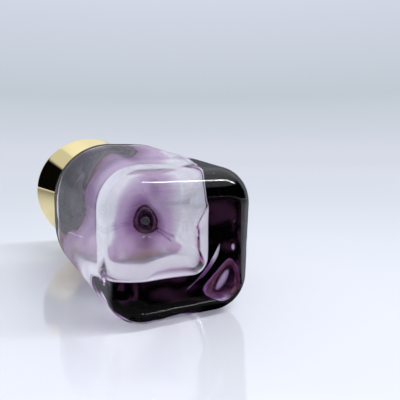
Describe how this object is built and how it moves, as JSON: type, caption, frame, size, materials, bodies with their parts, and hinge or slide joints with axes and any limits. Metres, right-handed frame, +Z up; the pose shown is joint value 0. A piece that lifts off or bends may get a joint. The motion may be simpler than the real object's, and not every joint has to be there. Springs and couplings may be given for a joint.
{
  "type": "perfume spray bottle",
  "caption": "Heavy-based tinted glass perfume bottle, rounded-square and flared to a domed shoulder, with a crimped spray pump under a flared gold-coloured pull-off cap.",
  "frame": {"origin": "middle of the flat flared side that the bottle lies on", "axes": "+Z up from the table, +Y towards the cap end, +X to the right seen from the base; the bottle's own axis rises towards the cap by the flare's angle"},
  "size_m": [0.0408, 0.095, 0.0437],
  "materials": {
    "amethyst_glass": "polished, tinted purple",
    "gold_metal": "mirror-bright gold anodised",
    "bare_alloy": "satin",
    "natural_plastic": "smooth translucent moulding",
    "elastomer": "matt",
    "bright_steel": "drawn"
  },
  "bodies": {
    "bottle": {"glass_bottle": "amethyst_glass", "neck_gasket": "elastomer", "crimp_ferrule": "bare_alloy", "collar": "gold_metal", "collar_insert": "natural_plastic", "pump_housing": "natural_plastic", "stem_guide": "natural_plastic", "stem_seal": "elastomer", "dip_tube": "natural_plastic", "pump_spring": "bright_steel"},
    "spray_button": {"actuator": "natural_plastic", "nozzle_insert": "natural_plastic", "button_shell": "gold_metal", "pump_stem": "natural_plastic", "pump_piston": "natural_plastic"},
    "inlet_valve": {"valve_ball": "bright_steel"},
    "cap": {"cap_shell": "gold_metal", "cap_insert": "natural_plastic"}
  },
  "joints": [
    {"name": "cap_pull", "type": "slide", "parent": "bottle", "child": "cap", "axis": [0, 0.9975, 0.0712], "range_m": [0, 0.03]},
    {"name": "button_press", "type": "slide", "parent": "bottle", "child": "spray_button", "axis": [0, -0.9975, -0.0712], "range_m": [0, 0.0034], "stiffness_N_per_m": 900, "springref_m": -0.003, "deforming": ["pump_spring"]},
    {"name": "ball_lift", "type": "slide", "parent": "bottle", "child": "inlet_valve", "axis": [0, 0.9975, 0.0712], "range_m": [0, 0.0006]}
  ]
}
